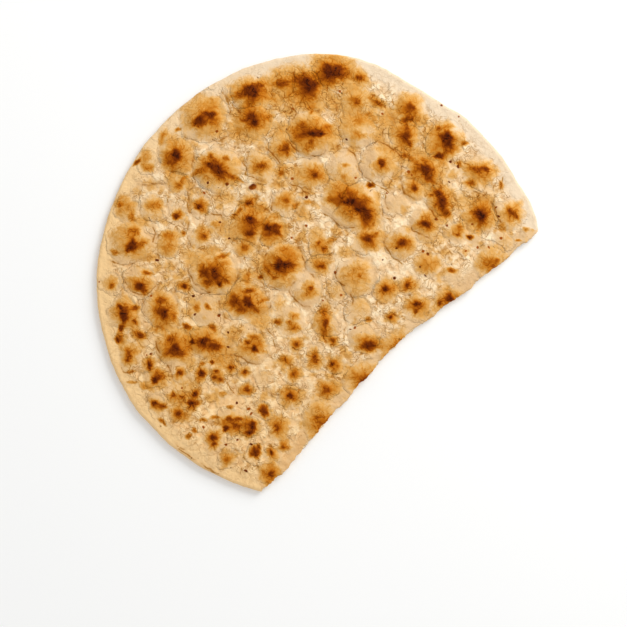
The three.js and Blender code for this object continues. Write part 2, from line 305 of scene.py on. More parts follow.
    (3.8, -20, 2.5, 2.5, 0, 0.55), (4.5, -31, 2.6, 4, 0, 0.5), (4.5, -25, 4.5, 8, 0, 0.4),
    (-21, -25, 2.3, 1.5, 0, 0.58), (-15, -25, 1.2, 1, 0, 0.5), (-12, -28, 3.6, 2.4, 0, 0.52),
    (-12, -22, 3, 2, 0, 0.38), (22, 1, 7, 6, 0, 0.32), (23.5, 0, 1.3, 1.3, 0, 0.55),
    (28.5, -38, 4.5, 2.6, 15, 0.9), (29, -37, 6.5, 4.5, 0, 0.5), (28.5, -24, 1.8, 1.2, 0, 0.45),
    # left
    (-76.2, 32.3, 1.9, 1.4, 20, 1), (-75, 33.5, 3, 2.2, 40, 0.55), (-63.4, 37.8, 1.7, 1.5, 0, 0.92),
    (-63, 38.5, 3.8, 3.5, 0, 0.55), (-107, 39, 2.2, 1.6, 0, 0.5), (-105, 38, 5, 4, 0, 0.33),
    (-100.5, 32.5, 1.8, 3.2, 0, 0.48), (-88.5, 38.5, 4.5, 3, 10, 0.42), (-100.5, 16.2, 4, 2.7, 70, 0.98),
    (-100.5, 18, 6, 4, 75, 0.43), (-99.5, 24.5, 3.4, 2.6, 0, 0.5), (-95.5, 17.5, 3.6, 2.4, 15, 0.52),
    (-110, 13, 2.2, 1.4, -20, 0.46), (-100, 18, 7.5, 6, 90, 0.3), (-80, 21.8, 3.8, 2.6, 0, 0.5),
    (-80, 15.5, 3.2, 2.8, 0, 0.36), (-80, 18, 6, 7, 0, 0.26), (-61.5, 21.3, 3, 1.8, -10, 0.6),
    (-61.5, 23, 4.5, 4, 0, 0.38), (-55, 28.3, 2.5, 1.7, 0, 0.36), (-72.5, 23.2, 1.4, 1.1, 0, 0.5),
    (-92.5, 1.5, 3, 1, -10, 0.62), (-96.3, -5.2, 2.4, 1.9, 0, 1), (-95, -7, 3, 2.4, -20, 0.8),
    (-96, -4.5, 5.4, 4.4, 0, 0.45), (-111.5, -5.3, 1.8, 1.5, 0, 0.6), (-111.5, -4, 3.2, 3.6, 0, 0.3),
    (-71.8, -5.6, 1.6, 1.6, 0, 0.97), (-72, -5.5, 3.4, 3, 0, 0.5), (-104.8, -21.5, 4.2, 2.2, 98, 1),
    (-107, -17, 2, 1.5, -45, 0.72), (-106.2, -28.5, 2.6, 1.2, 60, 0.85), (-99, -17.5, 1.9, 1.6, 0, 0.7),
    (-104.5, -20, 5.5, 4.5, 90, 0.5), (-99, -25, 1.6, 1.6, 0, 0.55), (-103.5, -21.5, 6.5, 7.5, 0, 0.38),
    (-83.3, -20.3, 3, 3.4, 0, 0.9), (-84, -13.5, 3.6, 2.4, 0, 0.66), (-87, -19, 2.6, 3.6, 0, 0.5),
    (-78, -21.5, 2.2, 3, 0, 0.55), (-83.5, -19, 6.8, 8.2, 0, 0.39), (-64.8, -17, 1.9, 2.6, 0, 0.46),
    (-59, -17, 1.9, 1.4, -40, 0.58), (-70.3, -27.8, 2.2, 1.6, -20, 0.85),
    (-56.5, -28.5, 2.4, 1.5, -30, 0.56), (-55, 0.8, 3.8, 2.1, -65, 1), (-52.8, -4.2, 2.4, 1.3, -60, 0.95),
    (-61, 2, 4.5, 3, -70, 0.72), (-59, -4, 3, 2.5, 0, 0.7), (-49.5, -3, 3, 1.1, -25, 0.65),
    (-51.5, 10.5, 3.6, 1.6, 20, 0.55), (-53, 5, 6, 3.6, 0, 0.4), (-55, 1.5, 7, 5.5, -60, 0.62),
    (-55, 0.5, 9.5, 8, 0, 0.36),
    # lower left
    (-96, -32.4, 1.9, 1.6, 20, 0.92), (-96.5, -32.4, 3.6, 2.6, 0, 0.5), (-108.2, -35, 1.4, 1.6, 0, 0.85),
    (-107, -34, 2.8, 2.8, 0, 0.52), (-76.7, -39.4, 2.9, 2.5, 0, 1), (-78, -42, 5, 2.8, 0, 0.72),
    (-73, -42, 2.6, 2, 0, 0.65), (-79, -34.5, 3, 2.5, 0, 0.62), (-77, -38.5, 8, 7.5, 0, 0.46),
    (-67.5, -36, 1.9, 1.6, 0, 0.97), (-61.3, -35.2, 3.4, 2.4, 0, 0.98), (-55, -38.5, 4, 2.3, -20, 0.86),
    (-61, -38, 4.6, 2.8, 0, 0.58), (-60, -36.5, 10, 6, -10, 0.46), (-102.5, -43, 2.1, 3.4, 0, 0.66),
    (-103, -45.7, 1.1, 1, 0, 0.75), (-102, -42.5, 4.6, 5.2, 0, 0.4), (-91, -48.8, 1.7, 2.9, 0, 0.88),
    (-91, -48.5, 3.4, 4, 0, 0.46), (-87.8, -56.8, 2.2, 1.9, 0, 0.95), (-86, -55, 3.6, 2.8, 30, 0.6),
    (-85.5, -54.5, 5, 4.4, 0, 0.36), (-92.5, -60, 4, 2.5, -30, 0.34), (-74.3, -53, 1.7, 1.4, 0, 0.85),
    (-74.3, -52.8, 3.2, 2.9, 0, 0.46), (-62.5, -53.3, 1.8, 2.1, 0, 0.95), (-63, -53.5, 3.2, 3.8, 0, 0.52),
    (-54.5, -52, 1.5, 1, 0, 0.7), (-55.3, -55.5, 1.7, 1.3, 0, 0.65), (-52.5, -56.5, 1.3, 1, 0, 0.7),
    (-54, -54.5, 3.6, 3.6, 0, 0.42), (-46.5, -50, 1.7, 1.3, 0, 0.78), (-46.5, -50.3, 3.1, 2.6, 0, 0.42),
    (-38.8, -52.2, 1.4, 1.3, 0, 0.8), (-39, -52.3, 2.7, 2.6, 0, 0.42), (-57, -47, 1.6, 0.9, 10, 0.6),
    (-62, -48, 1.6, 1.1, 0, 0.5), (-33.5, -39.8, 2.5, 1.8, -50, 0.94), (-37.5, -36, 1.8, 1.3, 0, 0.7),
    (-34, -33.5, 2.5, 1.6, 0, 0.55), (-34, -38, 6, 5.5, 0, 0.46), (-66, -64.5, 1.5, 1.6, 0, 0.95),
    (-66, -65, 2.9, 2.9, 0, 0.52), (-68, -69.3, 2.5, 1.3, -15, 1), (-67.5, -70, 3.6, 3, 0, 0.58),
    (-77.8, -64.8, 1.5, 1.9, 0, 0.6), (-73.5, -66.2, 1.7, 1.4, 0, 0.6), (-74, -67, 6, 4, 0, 0.38),
    (-75, -75.2, 1.1, 1.1, 0, 1), (-75, -74.8, 2.6, 2.6, 0, 0.68), (-74.5, -75.5, 4.4, 4.4, 0, 0.42),
    (-88, -69.5, 2.1, 1.6, 0, 0.84), (-84, -71.3, 2.6, 1.3, 0, 0.68), (-86.5, -70.3, 4.4, 2.8, -10, 0.44),
    (-37.7, -61.8, 1.4, 1.7, 0, 0.8), (-38, -62, 3.6, 3.2, 0, 0.44), (-51, -64.5, 1.9, 1.6, 0, 0.42),
    (-47, -71.5, 1.6, 1.1, 0, 0.48), (-28.5, -73.5, 2.6, 3, 0, 0.92), (-47, -77.8, 2.1, 1.6, 0, 0.92),
    (-42.5, -78, 2.1, 1.1, 0, 0.75), (-49, -83.3, 2.4, 1.4, 0, 0.96), (-43.5, -82, 3, 2.5, 0, 0.6),
    (-45.5, -81, 6.5, 5, 0, 0.48), (-55.5, -77, 2.6, 0.9, 10, 0.5), (-61.5, -78.5, 1.7, 1.1, 0, 0.55),
    (-34.5, -81.5, 2.4, 2.6, 0, 0.97), (-36, -85.2, 3, 1.1, 10, 0.92), (-36, -82.5, 4.8, 4.4, 0, 0.58),
    (-55.8, -88.2, 2.1, 1.8, 0, 0.93), (-55.5, -91.5, 1.6, 1, 20, 0.75), (-56, -88.8, 4.2, 4.2, 0, 0.5),
    (-69.8, -87.5, 1.7, 1.5, 0, 0.52), (-66.3, -84.3, 1.3, 1.3, 0, 0.5), (-48.5, -100, 2.4, 2.6, 0, 0.5),
    (-48.5, -99.5, 4.5, 4.5, 0, 0.32), (-84, -79.5, 2.5, 0.9, -35, 0.5), (-33, -96, 2.6, 3.6, 0, 0.85),
    (-101, -52.3, 1.9, 1.1, 0, 0.4), (-100.5, -58, 2.6, 0.9, 0, 0.35),
]
# Pinhead bubbles that caught and turned dark: the middle and half-width, in mm.
specks = [
    (-34.3, 48.8, 1.7), (-58.7, 50.5, 0.9), (-48.5, 50, 1.2), (-61, 45, 0.9), (-54, 79, 0.9),
    (-108, 57, 0.7), (-13.3, 53, 1.1), (13.2, 100.7, 0.9), (-12.5, 91, 0.8), (-16.5, 80, 0.7),
    (16.5, 74.5, 0.7), (21.8, 53.3, 0.9), (36.3, 88, 1), (68, 94, 0.8), (77.5, 86.5, 0.7),
    (38.5, 45, 0.8), (50.5, 57, 1), (52, 55.5, 0.8), (77.5, 59.2, 0.9), (74, 62, 0.8), (-5, 43, 0.9),
    (-6, 27.3, 0.9), (-47, 20.3, 0.9), (-13.3, 21, 0.8), (100.5, 20.8, 0.8), (85, 27.5, 0.8),
    (71, 27.8, 0.8), (65.5, 31, 0.9), (94, 15.5, 0.8), (88.5, 16, 0.7), (43.5, 15.2, 0.9),
    (58.5, 13.5, 1.1), (61, 12, 0.8), (57.2, 5.3, 0.8), (36, 8.8, 0.6), (43, -1, 0.9), (59.5, 0, 0.8),
    (3.8, -12.8, 0.8), (14, -10.5, 0.8), (20.5, -27.8, 0.8), (18.5, -29.3, 0.7), (-86.5, 8.3, 1.1),
    (-89.8, -11, 0.8), (-52.5, 29.3, 0.8), (-67, -10.5, 0.9), (-66, -20.8, 0.8), (-53.3, -21.5, 0.9),
    (-48, -30.8, 0.9), (-47.5, -39, 0.9), (-90.3, -42.3, 0.8), (-92.3, -43, 0.7), (-72.8, -60.3, 0.7),
    (-43.5, -69.8, 0.8), (-37, -72, 0.9), (-35.5, -75, 0.8), (-61, -82.3, 0.8), (-49.5, -91.8, 0.8),
    (-43, -89.5, 0.8), (-36, -92.5, 0.8), (-38.5, -106.5, 0.9), (10.5, 2, 1.1), (98, 37, 0.7),
    (82, 13, 0.7), (73, 51.5, 0.7), (100, 33, 0.7), (-110, 66, 0.7), (-118, -3.5, 0.6),
]

# Where the skin folded as it puffed up: the course of each fold, in mm.
creases = [
    # upper left
    ((-67, 67), (-68, 59), (-66, 52), (-67, 49), (-70, 46), (-70, 43)),
    ((-60, 46), (-56, 44), (-52.5, 42.5)),
    ((-27, 70.5), (-25, 68), (-22, 64), (-19.5, 61), (-19.5, 58.5)),
    ((-15.5, 74), (-12, 70.5), (-10, 67), (-10, 64)),
    ((-10, 64), (-6, 64.7), (-1.5, 65.7), (1.3, 64.5), (4, 67.3), (5, 70)),
    ((-38.5, 72), (-42.5, 71.6), (-45, 70)), ((-13.7, 49.7), (-9.4, 48), (-6.2, 46), (-4, 45.2)),
    ((-23.5, 45), (-24, 39), (-24, 36)),
    ((-40, 62), (-38.5, 59), (-39, 56), (-35.5, 54), (-32.3, 52), (-29, 51.5)),
    ((-51, 101), (-50.2, 99), (-48.3, 94.5), (-46.5, 90.3), (-48.3, 87)),
    ((-49, 97), (-46, 93.5), (-43, 90.3), (-41.4, 89)),
    ((-57, 74.3), (-52.6, 73), (-50, 75.3), (-46.7, 78.3)),
    ((-17.4, 94), (-14.7, 91.3), (-12, 91), (-10.7, 88.7), (-13, 86)),
    ((-10.7, 35.3), (-9.4, 33.2), (-7.8, 35.3), (-6.5, 39)),
    # upper right
    ((11.7, 71), (17, 69.2), (20.2, 67.3), (24.2, 58.5), (27, 54), (32.3, 50), (38, 46.8), (40, 45.3)),
    ((30.4, 71), (33, 72.8), (37, 72.8), (41, 69.5), (44.7, 66.2), (47.7, 65)), ((36.7, 79), (37, 75.4)),
    ((47.3, 61.5), (46.2, 56.3), (46.6, 49.7), (49, 44.6), (52.8, 41.7), (58.7, 41), (61.6, 37.3),
     (66.4, 31)),
    ((50.6, 29.2), (52.8, 25.2), (56.5, 22.6), (62.3, 20.8)), ((37.4, 44.6), (37.8, 40), (39.6, 36.5)),
    ((3.7, 34.3), (8, 31.8), (12.5, 27.7), (17, 26), (20, 26.6)), ((36.7, 35.4), (37.8, 32), (40, 30.7)),
    ((102.3, 54), (101.6, 50.5), (100.5, 46.8)), ((8.4, 97.4), (11, 93.7), (11, 90)),
    ((85.8, 45.7), (91.7, 44.6), (96, 39.5), (98.6, 34.3), (100.5, 29.2)), ((40, 88), (43, 84)),
    # middle
    ((-10, 16), (-7.3, 12), (-6, 7.3), (-6.3, 3.3)),
    ((-31.3, -1.3), (-28.7, -4.7), (-24, -6.7), (-19.3, -8.3)),
    ((-11.3, -3.3), (-13.7, -5.3), (-14.7, -8), (-13.3, -11.3), (-10, -14), (-6.7, -16), (-3.3, -16.7)),
    ((12.3, 6.7), (10.3, 1.3), (12, -2.7), (15.3, -5.3)), ((18.4, -10), (20.4, -12.4), (20, -15.3)),
    ((16, -22), (15.7, -28), (15, -34)), ((-44, 12.7), (-41.3, 9.3), (-41, 6)),
    ((-5.3, 4.7), (-3.3, 1.3), (0, -1.3)), ((37.3, 23.3), (38, 16.7), (41.3, 10.7), (46.7, 6.7)),
    ((19.3, 12), (24, 10), (30.7, 10)), ((-29.3, -20.7), (-26, -17.3), (-22.7, -11.3)),
    ((-26.7, -29.3), (-23.3, -33.3), (-22.7, -39.3)),
    # left
    ((-80.8, 48.3), (-80.3, 43.8), (-81.7, 39.3), (-82.1, 34.8)),
    ((-97, 50), (-91.6, 49.7), (-86.2, 50.5), (-82, 50)),
    ((-70, 43), (-70, 39.3), (-69.6, 34.8), (-67.3, 33)), ((-88.9, 27), (-87.2, 23), (-89.4, 18.5)),
    ((-69.1, 29.4), (-70.4, 24.9), (-70, 20.4), (-68.6, 16.8)),
    ((-57.4, 33.9), (-52, 33), (-50.6, 29.4), (-52, 25)),
    ((-70, 6), (-69.1, 0.6), (-66.4, -3.9), (-62.8, -7.5), (-57.4, -8.9)),
    ((-41, 6), (-43, 0.6), (-44.8, -3.9)),
    ((-106, 4.2), (-105.1, -1.2), (-102.4, -6.6), (-97, -10.7), (-91.6, -9.3), (-87.1, -5.7)),
    ((-78.1, -6.6), (-76.3, -11.1), (-75.4, -16.5)), ((-33.1, 6), (-32.7, 1.5), (-31.3, -2.1)),
    ((-112, 8), (-109.6, 6.9), (-103.3, 6), (-97, 7.8), (-91.6, 10.9)),
    # lower left
    ((-43, -52), (-43.9, -58.3), (-43, -62.8)),
    ((-34.9, -53.8), (-34, -59.2), (-35.8, -63.7), (-38.5, -65.5)),
    ((-46.7, -43.7), (-41.3, -44), (-37.3, -47), (-30.7, -48), (-28, -46), (-25.3, -43.3)),
    ((-45, -32.7), (-45.3, -36.7), (-47, -40)), ((-33.6, -53.7), (-30.4, -53.4)),
    ((-87, -36.6), (-86, -42.2)), ((-80.8, -48.5), (-78.7, -54.8)), ((-71, -53.4), (-69, -58.3)),
    ((-94, -12), (-93.8, -16.3)), ((-53.5, -13.5), (-51.8, -17.7), (-50, -22.6), (-46.5, -25)),
    ((-49.3, -58.3), (-46.5, -62.5), (-42.3, -66)), ((-108, -49), (-104.6, -52.3), (-99.7, -52.7)),
    ((-40.6, -104.5), (-41.6, -108.7)), ((-76, -92), (-71.7, -94.7)),
    ((-75, -94.5), (-71, -97.6), (-66, -100.5)), ((-63.3, -103), (-57.7, -106), (-52.8, -108.3)),
]

# Beside the tear, steam raised more domes of the same kinds. Each is thrown at the bread and
# stays if it finds room on the strip beside the tear. It has a dark core in two wider, paler marks.
puffed_radius = 116
tear_strip = 62
dice = np.random.RandomState(12)
for _ in range(1500):
    x, y = dice.uniform(-bread_radius, bread_radius, 2)
    half_width = 4 + 9 * dice.uniform() ** 1.3
    gaps = [math.hypot(x - dx, y - dy) - (dr + half_width) * 0.86 for dx, dy, dr in domes]
    past_tear = x * tear_out[0] + y * tear_out[1] > tear_strip
    past_rim = math.hypot(x, y) + half_width * 0.7 > puffed_radius
    off_strip = (x < 30 and y > -34) or y > -2 or x < -26
    if min(gaps) < 0 or past_tear or past_rim or off_strip:
        continue
    domes.append((x, y, half_width))
    turn = dice.uniform(0, 180)
    darkness = dice.choice((0.6, 0.85, 1))
    core = half_width * dice.uniform(0.2, 0.34)
    off_x, off_y = half_width * 0.2 * dice.uniform(-1, 1, 2)
    core_width = core * dice.uniform(0.5, 0.9)
    scorches.append((x + off_x, y + off_y, core, core_width, turn, darkness))
    scorches.append((x + off_x * 0.5, y + off_y * 0.5, half_width * 0.6, half_width * 0.45, turn, 0.5))
    scorches.append((x, y, half_width * 0.85, half_width * 0.75, turn, 0.35))
    if half_width > 7:
        beside = (x - 1.6 * off_x - 2, y - 1.6 * off_y)
        scorches.append((*beside, core * 0.8, core * 0.5, turn + 50, darkness * 0.8))

# Small bubbles fill the skin between the domes, wherever a dart thrown at it finds room.
bubbles = [tuple(float(value) for value in dome) for dome in domes]
for _ in range(14000):
    x, y = dice.uniform(-bread_radius, bread_radius, 2)
    half_width = 1.3 + 3.4 * dice.uniform() ** 2
    gaps = [math.hypot(x - bx, y - by) - br * 0.9 for bx, by, br in bubbles]
    if math.hypot(x, y) < puffed_radius and min(gaps) > half_width * 0.62:
        bubbles.append((x, y, half_width))

far_off = 500.0  # stands for any distance too large to matter, in mm


def lifted(x, y, puffs):
    """How high the puffs lift each point, how far it is from a fold, and the middle of its puff."""
    best = np.zeros(len(x))
    second = np.zeros(len(x))
    best_slope = np.zeros((len(x), 2))
    second_slope = np.zeros((len(x), 2))
    centre = np.full((len(x), 2), far_off)
    for puff_x, puff_y, half_width in puffs:
        in_reach = (np.abs(x - puff_x) < half_width) & (np.abs(y - puff_y) < half_width)
        near = np.nonzero(in_reach)[0]
        away = np.column_stack((x[near] - puff_x, y[near] - puff_y))
        inside = 1 - (away**2).sum(axis=1) / half_width**2
        near, away, inside = near[inside > 0], away[inside > 0], inside[inside > 0]
        peak = 0.19 * half_width * (half_width / 10) ** 0.6
        height = peak * inside
        slope = -2 * peak / half_width**2 * away
        wins = height > best[near]
        follows = ~wins & (height > second[near])
        second[near] = np.where(wins, best[near], np.where(follows, height, second[near]))
        second_slope[near] = np.where(wins[:, None], best_slope[near], second_slope[near])
        second_slope[near] = np.where(follows[:, None], slope, second_slope[near])
        best[near] = np.where(wins, height, best[near])
        best_slope[near] = np.where(wins[:, None], slope, best_slope[near])
        centre[near] = np.where(wins[:, None], (puff_x, puff_y), centre[near])
    steepness = np.linalg.norm(best_slope - second_slope, axis=1) + 0.02
    return best, (best - second) / steepness, centre


def distance_to(course, x, y):
    """Each point's distance from a course of straight stretches, in mm."""
    nearest = np.full(len(x), far_off)
    for (start_x, start_y), (end_x, end_y) in zip(course, course[1:]):
        step_x, step_y = end_x - start_x, end_y - start_y
        share = ((x - start_x) * step_x + (y - start_y) * step_y) / (step_x**2 + step_y**2)
        share = np.clip(share, 0, 1)
        away = np.hypot(x - start_x - share * step_x, y - start_y - share * step_y)
        nearest = np.minimum(nearest, away)
    return nearest


# No outline that steam and heat draw is even: folds, marks and domes all stray from their course.
stray_x = 1.2 * drift(5, 91.0) + 0.35 * drift(2, 93.0)
stray_y = 1.2 * drift(5, 95.0) + 0.35 * drift(2, 97.0)
smear_x = places[:, 0] + stray_x
smear_y = places[:, 1] + stray_y
to_crease = np.full(len(places), far_off)
for course in creases:
    to_crease = np.minimum(to_crease, distance_to(course, smear_x, smear_y))
bent_x = places[:, 0] + 2.8 * drift(13, 3.1) + 1.8 * drift(5, 8.2)
bent_y = places[:, 1] + 2.8 * drift(13, 14.7) + 1.8 * drift(5, 21.4)
puffed, to_fold, _ = lifted(bent_x, bent_y, bubbles)
widest_small = 4.5
wide_bubbles = [bubble for bubble in bubbles if bubble[2] > widest_small]
domed, to_dome_fold, dome_centre = lifted(bent_x, bent_y, wide_bubbles)
on_puff = puffed > 0.01
on_dome = domed > 0.01

# The top: domes and bubbles with sunken folds between them, on a sheet that thins at its edge.
valley = np.exp(-domed / 0.5)
fold = np.exp(-((to_fold / 0.6) ** 2)) * on_puff
dome_fold = np.exp(-((to_dome_fold / 0.8) ** 2)) * on_dome
come_and_go = np.clip(0.65 + 1.3 * drift(9, 51.0), 0, 1)
crinkle = 1 - np.abs(drift(3.4, 31.0)) * 3.2 - np.abs(drift(1.9, 44.0)) * 1.4
fold_depth = 0.1
crease_depth = 0.24
crinkle_height = 0.025
valley_crinkle_height = 0.05
rise = puffed - come_and_go * (fold_depth * fold + fold_depth * dome_fold)
rise -= crease_depth * np.exp(-((to_crease / 0.8) ** 2)) * np.clip(0.7 + 1.5 * drift(11, 55.0), 0.2, 1)
rise += (crinkle_height + valley_crinkle_height * valley) * crinkle
edge_fade = np.clip(from_edge / 9, 0, 1) ** 0.7
edge_thickness = 3.5
thicker_inside = 0.9
thinning_width = 14
thinning = np.clip(from_edge / thinning_width, 0, 1) ** 0.6
sheet = edge_thickness + thicker_inside * thinning + 0.35 * drift(45, 5.0)
top = sheet + rise * edge_fade
top = np.minimum(top, cad_box[1][2] / mm)
bottom = np.maximum(0, 0.55 * drift(14, 61.0) + 0.25 * drift(5, 67.0) - 0.05)
bottom *= np.clip(from_edge / 6, 0, 1)
heights = bottom + (top - bottom) * through

# The edges: a softly uneven rim, and a tear with two thin skins and ragged crumb between them.
swayed_width = np.where(at_tear, 3.2, 2.2)
near_edge = np.exp(-((from_edge / swayed_width) ** 2))
rim_sway = 0.7 * drift(16, 71.0) + 0.3 * drift(4.5, 73.0)
layer = 3.0 * through
tear_sway = 0.9 * drift(9, 81.0, tear_course, layer)
tear_sway += 0.9 * drift(3.6, 83.0, tear_course, layer * 1.6)
tear_sway += 0.6 * drift(1.7, 87.0, tear_course, layer * 1.6)
tear_sway -= 0.9 * np.sin(math.pi * through) * (from_edge < 1)
sway = np.where(at_tear, tear_sway, rim_sway) * near_edge
flat = places[:, :2] + edge_normals * sway[:, None]

moved = np.column_stack((flat, heights)) * mm
mesh.vertices.foreach_set("co", moved.ravel())
mesh.update()

# How brown each point is. Every scorch has its own lobed, feathered outline and fades slowly.
# Marks that overlap add up as cubes, so that the darkest of them rules.
scorching = np.zeros(len(places))
for x, y, half_length, half_width, turn, darkness in scorches:
    span = 3 * half_length + 3
    near = np.nonzero((np.abs(smear_x - x) < span) & (np.abs(smear_y - y) < span))[0]
    swerve = min(1, 0.15 + half_length / 6)
    away_x = places[near, 0] + swerve * stray_x[near] - x
    away_y = places[near, 1] + swerve * stray_y[near] - y
    cos, sin = math.cos(math.radians(turn)), math.sin(math.radians(turn))
    along_mark = (away_x * cos + away_y * sin) / half_length
    across_mark = (away_y * cos - away_x * sin) / half_width
    around = np.arctan2(across_mark, along_mark)
    lobes = sum(
        size * np.sin(count * around + dice.uniform(0, 2 * math.pi))
        for count, size in ((2, 0.10), (3, 0.10), (5, 0.08), (8, 0.05), (13, 0.04), (21, 0.03))
    )
    distance = np.hypot(along_mark, across_mark) / (1 + lobes)
    scorching[near] += (darkness * np.exp(-0.69 * distance ** (2.1 + 1.1 * darkness))) ** 3
scorching += (0.17 * (1 - valley) * np.clip(0.6 + 1.4 * drift(19, 101.0), 0, 1)) ** 3
toast = np.minimum(scorching ** (1 / 3), 1)
toast += 0.045 * np.sin(math.pi * toast) - 0.08 * toast**3
toast *= through

# The underside lay on the hot surface, which left soft round marks all over it.
underside_radius = 112
low_down = through < 0.3
for _ in range(90):
    angle = dice.uniform(0, 2 * math.pi)
    from_middle = underside_radius * math.sqrt(dice.uniform())
    size = dice.uniform(1.5, 6)
    darkness = dice.uniform(0.3, 0.75)
    away_x = (smear_x - from_middle * math.cos(angle)) / size
    away_y = (smear_y - from_middle * math.sin(angle)) / (size * dice.uniform(0.6, 1))
    toast = 1 - (1 - toast) * (1 - low_down * darkness / (1 + np.hypot(away_x, away_y) ** 3))


def tell_skin(name, values):
    """Stores a value at each point of the bread for its crust to read."""
    attribute = mesh.attributes.new(name, "FLOAT", "POINT")
    attribute.data.foreach_set("value", values.astype(np.float32))


farthest_told = 4.0
to_speck = np.full(len(places), farthest_told)
for x, y, half_width in specks:
    to_speck = np.minimum(to_speck, np.hypot(smear_x - x, smear_y - y) / half_width)

tell_skin("toast", toast)
tell_skin("speck", to_speck / farthest_told)
tell_skin("from_dome_x", (places[:, 0] - dome_centre[:, 0]) * on_dome)
tell_skin("from_dome_y", (places[:, 1] - dome_centre[:, 1]) * on_dome)
tell_skin("fold", np.clip(to_dome_fold / 3, 0, 1) * on_dome + 1.0 * ~on_dome)
tell_skin("crease", np.clip(to_crease / 3, 0, 1))
tell_skin("small_fold", np.clip(to_fold / 3, 0, 1) * on_puff + 1.0 * ~on_puff)
tell_skin("valley", valley * np.clip(from_edge / 9 - 0.3, 0, 1))
tell_skin("rim", np.clip(1 - from_edge / 13, 0, 1) * ~at_tear)
between_skins = np.clip((0.92 - through) * 6, 0, 1) * np.clip((through - 0.06) * 8, 0, 1)
tell_skin("crumb", at_tear * (from_edge < 0.9) * between_skins)

# A flat map of the sheet: the top with its edges folded out, and beside it the underside, which
# is turned over so that the two lie with their torn sides together.
map_scale = 1 / 365
top_middle = np.array((0.352, 0.648))
underside_middle = np.array((0.648, 0.352))
side_width = 4.5
layout = mesh.uv_layers.new(name="OFBake")
folded_out = edge_normals * ((1 - through) * side_width * (from_edge < 2))[:, None]
top_map = top_middle + (moved[:, :2] / mm + folded_out) * map_scale
under_map = underside_middle + moved[:, 1::-1] / mm * map_scale
faces_down = np.zeros(len(mesh.polygons) * 3)
mesh.polygons.foreach_get("normal", faces_down)
faces_down = faces_down.reshape(-1, 3)[:, 2] < -0.6
counts = np.zeros(len(mesh.polygons), int)
mesh.polygons.foreach_get("loop_total", counts)
corner_vertex = np.zeros(len(mesh.loops), int)
mesh.loops.foreach_get("vertex_index", corner_vertex)
corner_down = np.repeat(faces_down, counts)
spots = np.where(corner_down[:, None], under_map[corner_vertex], top_map[corner_vertex])
layout.data.foreach_set("uv", spots.ravel())
mesh.shade_smooth()

# The crust: matt floury skin, golden to nearly black where it scorched. Its colours are given
# as they look on a screen, and its sizes in mm.
crust = bpy.data.materials.new("baked_crust")
crust.use_nodes = True
tree = crust.node_tree
tree.nodes.clear()


def colour(red, green, blue):
    """A colour given as 0 to 255 on a screen, as the linear colour that a shader takes."""
    parts = [part / 255 for part in (red, green, blue)]
    return [part / 12.92 if part <= 0.04045 else ((part + 0.055) / 1.055) ** 2.4 for part in parts] + [1]


def give(socket, term):
    """Links a value from another node into a socket, or sets a plain one there."""
    if isinstance(term, bpy.types.NodeSocket):
        tree.links.new(term, socket)
    else:
        socket.default_value = term


def put(kind, settings=None, **inputs):
    """Adds a node, with its settings, and its inputs by name as values or links."""
    node = tree.nodes.new(kind)
    for name, value in (settings or {}).items():
        setattr(node, name, value)
    for name, value in inputs.items():
        give(node.inputs[name.replace("_", " ")], value)
    return node


def reckon(operation, *terms, clamp=False):
    """The result of a sum or other reckoning on values or links."""
    node = tree.nodes.new("ShaderNodeMath")
    node.operation = operation
    node.use_clamp = clamp
    for socket, term in zip(node.inputs, terms):
        give(socket, term)
    return node.outputs[0]


def reckon_vector(operation, *terms, result="Vector"):
    """The result of a reckoning on places or directions."""
    node = tree.nodes.new("ShaderNodeVectorMath")
    node.operation = operation
    for socket, term in zip(node.inputs, terms):
        give(socket, term)
    return node.outputs[result]


def mixed(share, first, second, way="MIX"):
    """Two colours mixed by a share."""
    node = tree.nodes.new("ShaderNodeMix")
    node.data_type = "RGBA"
    node.blend_type = way
    for socket, term in ((node.inputs[0], share), (node.inputs[6], first), (node.inputs[7], second)):
        give(socket, term)
    return node.outputs[2]


def ramp(value, low, high, bottom=0.0, top=1.0):
    """The value stretched from low..high to bottom..top, smoothly and held at its ends."""
    node = put("ShaderNodeMapRange", {"interpolation_type": "SMOOTHSTEP"}, Value=value)
    for socket, number in zip(node.inputs[1:5], (low, high, bottom, top)):
        socket.default_value = number
    return node.outputs["Result"]


def skin_value(name):
    """A value that is stored at each point of the bread."""
    return put("ShaderNodeAttribute", {"attribute_name": name}).outputs["Fac"]


place = put("ShaderNodeTexCoord").outputs["Object"]


def speckle(size, detail=2.0, roughness=0.5):
    """Fine chance variation with a grain size in mm, from 0 to 1."""
    grains = put("ShaderNodeTexNoise", Vector=place, Scale=1000 / size, Detail=detail, Roughness=roughness)
    return grains.outputs["Fac"]


toast_value = skin_value("toast")
fold_value = skin_value("fold")
small_fold_value = skin_value("small_fold")
crease_value = skin_value("crease")
valley_value = skin_value("valley")
rim_value = skin_value("rim")
speck_value = skin_value("speck")
crumb_value = skin_value("crumb")

# Fine crinkles: small pebbly cells of two sizes, bent out of shape, strongest in the valleys.
stray = put("ShaderNodeTexNoise", Vector=place, Scale=1000 / 3.5, Detail=2.0)
bent_place = reckon_vector("MULTIPLY_ADD", stray.outputs["Color"], (0.005, 0.005, 0.005), place)


def cells(size, slope):
    """Small cells: 0 in the creases between them, 1 on top of them."""
    cell = put("ShaderNodeTexVoronoi", {"feature": "DISTANCE_TO_EDGE"}, Vector=bent_place)
    cell.inputs["Scale"].default_value = 1000 / size
    return ramp(cell.outputs["Distance"], 0.0, slope)


